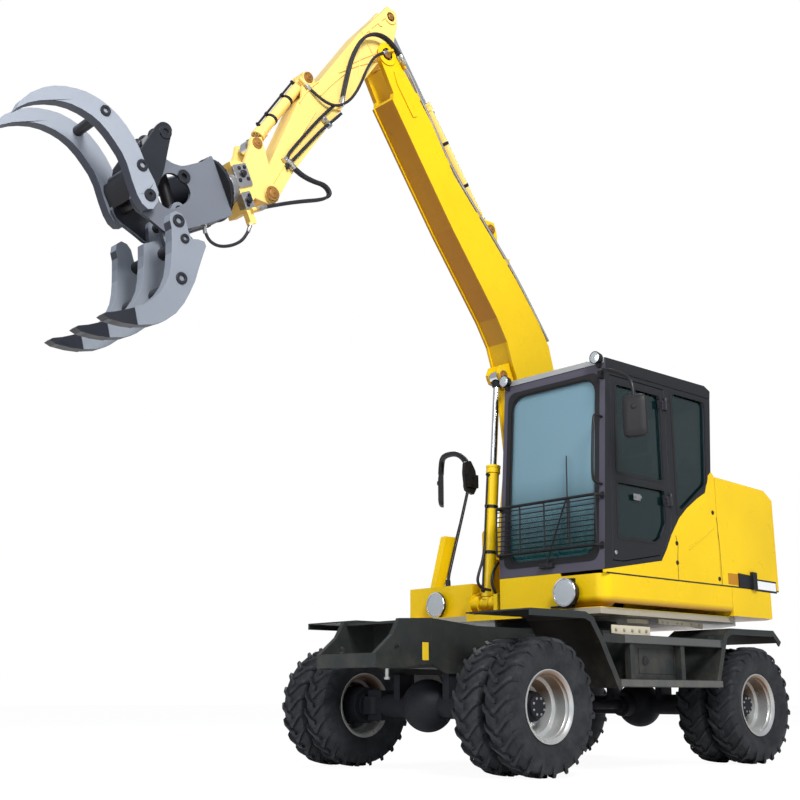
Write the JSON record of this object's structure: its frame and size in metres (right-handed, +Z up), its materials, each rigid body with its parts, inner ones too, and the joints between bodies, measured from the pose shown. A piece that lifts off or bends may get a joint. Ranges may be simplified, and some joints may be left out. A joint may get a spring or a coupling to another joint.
{
  "type": "wheeled excavator with log grapple",
  "caption": "Wheeled excavator on twin tyres with a side cab, one-piece bent boom, stick and a rotating grapple with curved tines above and below.",
  "frame": {"origin": "on the ground, at the middle of the bounding box in plan", "axes": "+X is forward, +Y is to the left, the cab's side, and +Z is up"},
  "size_m": [6.2134, 2.8039, 5.76],
  "materials": {
    "yellow_paint": "gloss",
    "charcoal_paint": "satin",
    "cab_paint": "satin",
    "grapple_paint": "satin",
    "black_paint": "satin",
    "tyre": "matte",
    "rim_silver": "satin",
    "cast": "matte",
    "weight_paint": "satin",
    "chrome_rod": "polished",
    "glass": "gloss",
    "hose_rubber": "satin",
    "black_plastic": "matte",
    "seat_fabric": "matte",
    "lamp_body": "gloss"
  },
  "bodies": {
    "chassis": {"front_axle": "cast", "rear_axle": "cast", "driveline": "cast", "chassis_frame": "charcoal_paint", "front_nose": "charcoal_paint", "slew_ring": "cast", "side_left": "charcoal_paint", "side_right": "charcoal_paint", "lockers": "charcoal_paint"},
    "knuckle_left": {"knuckle_left": "cast"},
    "knuckle_right": {"knuckle_right": "cast"},
    "steer_rod": {"steer_rod": "chrome_rod"},
    "upper": {"upper_frame": "weight_paint", "deck_left": "yellow_paint", "deck_right": "yellow_paint", "side_panel": "yellow_paint", "hood": "yellow_paint", "right_tank": "yellow_paint", "counterweight": "weight_paint", "engine": "cast", "cab_shell": "cab_paint", "cab_roof": "cab_paint", "cab_floor": "cab_paint", "cab_glass": "glass", "seat": "seat_fabric", "controls": "black_plastic", "guard": "black_paint", "lamps": "lamp_body", "mirrors": "black_plastic"},
    "door": {"door": "cab_paint", "door_glass": "glass"},
    "boom": {"boom": "yellow_paint", "boom_hose": "hose_rubber", "tilt_hose": "hose_rubber"},
    "lift_barrel": {"lift_barrel": "yellow_paint"},
    "lift_rod": {"lift_rod": "chrome_rod"},
    "stick": {"stick": "yellow_paint", "tool_hose": "hose_rubber"},
    "crowd_barrel": {"crowd_barrel": "yellow_paint"},
    "crowd_rod": {"crowd_rod": "chrome_rod"},
    "tilt_barrel": {"tilt_barrel": "yellow_paint"},
    "tilt_rod": {"tilt_rod": "chrome_rod"},
    "hanger": {"hanger": "yellow_paint", "rotator": "black_paint", "grapple_hose": "hose_rubber"},
    "grapple_head": {"grapple_head": "grapple_paint"},
    "upper_jaw": {"upper_jaw": "grapple_paint"},
    "lower_jaw": {"lower_jaw": "grapple_paint"},
    "clamp_barrel": {"clamp_barrel": "black_paint"},
    "clamp_rod": {"clamp_rod": "chrome_rod"},
    "wheel_front_left": {"tyres_front_left": "tyre", "rims_front_left": "rim_silver"},
    "wheel_front_right": {"tyres_front_right": "tyre", "rims_front_right": "rim_silver"},
    "wheel_rear_left": {"tyres_rear_left": "tyre", "rims_rear_left": "rim_silver"},
    "wheel_rear_right": {"tyres_rear_right": "tyre", "rims_rear_right": "rim_silver"}
  },
  "joints": [
    {"name": "slew", "type": "hinge", "parent": "chassis", "child": "upper", "pos_m": [-1.565, 0, 1], "axis": [0, 0, 1], "continuous": true},
    {"name": "steer_left", "type": "hinge", "parent": "chassis", "child": "knuckle_left", "pos_m": [-0.19, 0.545, 0.43], "axis": [0, 0, 1], "range_deg": [-30, 30]},
    {"name": "steer_right", "type": "hinge", "parent": "chassis", "child": "knuckle_right", "pos_m": [-0.19, -0.545, 0.43], "axis": [0, 0, 1], "range_deg": [-30, 30]},
    {"name": "steer_slide", "type": "slide", "parent": "chassis", "child": "steer_rod", "axis": [0, 1, 0], "range_m": [-0.088, 0.088]},
    {"name": "roll_front_left", "type": "hinge", "parent": "knuckle_left", "child": "wheel_front_left", "pos_m": [-0.19, 0.883, 0.43], "axis": [0, 1, 0], "continuous": true},
    {"name": "roll_front_right", "type": "hinge", "parent": "knuckle_right", "child": "wheel_front_right", "pos_m": [-0.19, -0.883, 0.43], "axis": [0, 1, 0], "continuous": true},
    {"name": "roll_rear_left", "type": "hinge", "parent": "chassis", "child": "wheel_rear_left", "pos_m": [-2.585, 0.883, 0.43], "axis": [0, 1, 0], "continuous": true},
    {"name": "roll_rear_right", "type": "hinge", "parent": "chassis", "child": "wheel_rear_right", "pos_m": [-2.585, -0.883, 0.43], "axis": [0, 1, 0], "continuous": true},
    {"name": "door_hinge", "type": "hinge", "parent": "upper", "child": "door", "pos_m": [-1.689, 1.047, 2.1], "axis": [0, 0, 1], "range_deg": [0, 150]},
    {"name": "boom_lift", "type": "hinge", "parent": "upper", "child": "boom", "pos_m": [-1.28, -0.15, 1.56], "axis": [0, 1, 0], "range_deg": [-3, 78]},
    {"name": "lift_barrel_swing", "type": "hinge", "parent": "upper", "child": "lift_barrel", "pos_m": [-0.962, -0.15, 1.168], "axis": [0, 1, 0], "range_deg": [-5, 72]},
    {"name": "lift_stroke", "type": "slide", "parent": "lift_barrel", "child": "lift_rod", "axis": [-0.0848, 0, 0.9964], "range_m": [-0.62, 0.03]},
    {"name": "stick_swing", "type": "hinge", "parent": "boom", "child": "stick", "pos_m": [0.182, -0.15, 5.3], "axis": [0, -1, 0], "range_deg": [-15, 95], "deforming": ["boom_hose", "tilt_hose"]},
    {"name": "crowd_barrel_swing", "type": "hinge", "parent": "boom", "child": "crowd_barrel", "pos_m": [-1.002, -0.15, 4.196], "axis": [0, -1, 0], "range_deg": [-2, 4]},
    {"name": "crowd_stroke", "type": "slide", "parent": "crowd_barrel", "child": "crowd_rod", "axis": [0.6007, 0, 0.7995], "range_m": [-0.6, 0.1]},
    {"name": "hanger_tilt", "type": "hinge", "parent": "stick", "child": "hanger", "pos_m": [1.23, -0.15, 3.812], "axis": [0, 1, 0], "range_deg": [-4, 90], "deforming": ["tool_hose"]},
    {"name": "tilt_barrel_swing", "type": "hinge", "parent": "stick", "child": "tilt_barrel", "pos_m": [0.894, -0.15, 4.852], "axis": [0, 1, 0], "range_deg": [-2, 2]},
    {"name": "tilt_stroke", "type": "slide", "parent": "tilt_barrel", "child": "tilt_rod", "axis": [0.5502, 0, -0.835], "range_m": [-0.04, 0.54]},
    {"name": "grapple_turn", "type": "hinge", "parent": "hanger", "child": "grapple_head", "pos_m": [1.638, -0.15, 3.752], "axis": [0.8988, 0, -0.4384], "continuous": true, "deforming": ["grapple_hose"]},
    {"name": "upper_jaw_close", "type": "hinge", "parent": "grapple_head", "child": "upper_jaw", "pos_m": [2.20645, -0.15, 3.47808], "axis": [0, 1, 0], "range_deg": [-5, 60]},
    {"name": "lower_jaw_close", "type": "hinge", "parent": "grapple_head", "child": "lower_jaw", "pos_m": [1.99656, -0.15, 3.40133], "axis": [0, 1, 0], "range_deg": [-37, 4]},
    {"name": "clamp_barrel_swing", "type": "hinge", "parent": "lower_jaw", "child": "clamp_barrel", "pos_m": [1.93027, -0.15, 3.50264], "axis": [0, 1, 0], "range_deg": [-8, 80]},
    {"name": "clamp_stroke", "type": "slide", "parent": "clamp_barrel", "child": "clamp_rod", "axis": [0.3454, 0, 0.9384], "range_m": [-0.03, 0.3]}
  ],
  "couplings": [
    {"joint": "steer_right", "follows": "steer_left", "ratio": 1},
    {"joint": "steer_slide", "follows": "steer_left", "m_per_rad": -0.164},
    {"joint": "lift_barrel_swing", "follows": "boom_lift", "ratio": 0.868},
    {"joint": "lift_stroke", "follows": "boom_lift", "m_per_rad": -0.4252},
    {"joint": "crowd_barrel_swing", "follows": "stick_swing", "ratio": 0.0145},
    {"joint": "crowd_stroke", "follows": "stick_swing", "m_per_rad": -0.3414},
    {"joint": "tilt_barrel_swing", "follows": "hanger_tilt", "ratio": -0.0033},
    {"joint": "tilt_stroke", "follows": "hanger_tilt", "m_per_rad": 0.3333},
    {"joint": "lower_jaw_close", "follows": "upper_jaw_close", "ratio": -0.6},
    {"joint": "clamp_barrel_swing", "follows": "upper_jaw_close", "ratio": 1.293},
    {"joint": "clamp_stroke", "follows": "upper_jaw_close", "m_per_rad": 0.2786}
  ]
}
